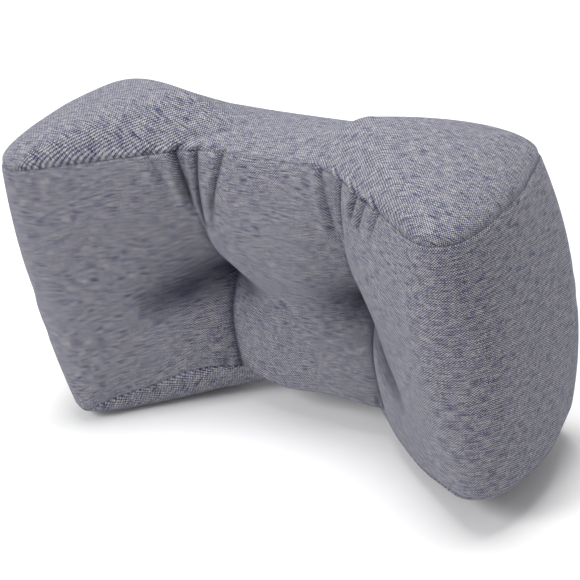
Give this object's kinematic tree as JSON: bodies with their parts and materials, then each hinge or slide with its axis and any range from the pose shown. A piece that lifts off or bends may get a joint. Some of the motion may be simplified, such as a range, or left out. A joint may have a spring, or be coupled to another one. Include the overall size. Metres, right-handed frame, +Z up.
{
  "type": "lumbar support cushion",
  "caption": "Stuffed saddle-shaped lumbar cushion with deep side lobes, a shallow middle, tucked-in channels and a zip across the back.",
  "frame": {"origin": "bottom centre of the whole cushion's bounding box, on the surface that it stands on", "axes": "+Z up, +Y towards the chair's back (the zip side), +X across the cushion to the sitter's left when seated against it"},
  "size_m": [0.45, 0.1612, 0.28],
  "materials": {
    "cover_cloth": "matte",
    "sewing_thread": "matte",
    "lining_cloth": "matte",
    "fibre_filling": "matte",
    "tie_tape": "matte",
    "zip_tape": "matte",
    "zip_coil": "satin",
    "zip_metal": "satin"
  },
  "bodies": {
    "cushion": {"back_panel_lower": "cover_cloth", "back_panel_upper": "cover_cloth", "back_seam_threads": "sewing_thread", "bottom_panel": "cover_cloth", "bottom_seam_thread": "sewing_thread", "fibre_fill_centre": "fibre_filling", "fibre_fill_left": "fibre_filling", "fibre_fill_right": "fibre_filling", "front_panel": "cover_cloth", "left_dart_thread": "sewing_thread", "left_tie_tape": "tie_tape", "lining_bag": "lining_cloth", "right_dart_thread": "sewing_thread", "right_tie_tape": "tie_tape", "side_seam_threads": "sewing_thread", "top_panel": "cover_cloth", "top_seam_thread": "sewing_thread", "zipper_bottom_stop": "zip_metal", "zipper_coil_lower": "zip_coil", "zipper_coil_upper": "zip_coil", "zipper_stitch_threads": "sewing_thread", "zipper_tape_lower": "zip_tape", "zipper_tape_upper": "zip_tape", "zipper_top_stops": "zip_metal"},
    "zipper_slider": {"zipper_slider": "zip_metal"},
    "zipper_pull": {"zipper_pull_tab": "zip_metal"}
  },
  "joints": [
    {"name": "zip_slide", "type": "slide", "parent": "cushion", "child": "zipper_slider", "axis": [-1, 0, 0], "range_m": [0, 0.322]},
    {"name": "pull_hinge", "type": "hinge", "parent": "zipper_slider", "child": "zipper_pull", "pos_m": [0.1612, 0.0785, 0.14], "axis": [0, 0, -1], "range_deg": [0, 175]}
  ]
}
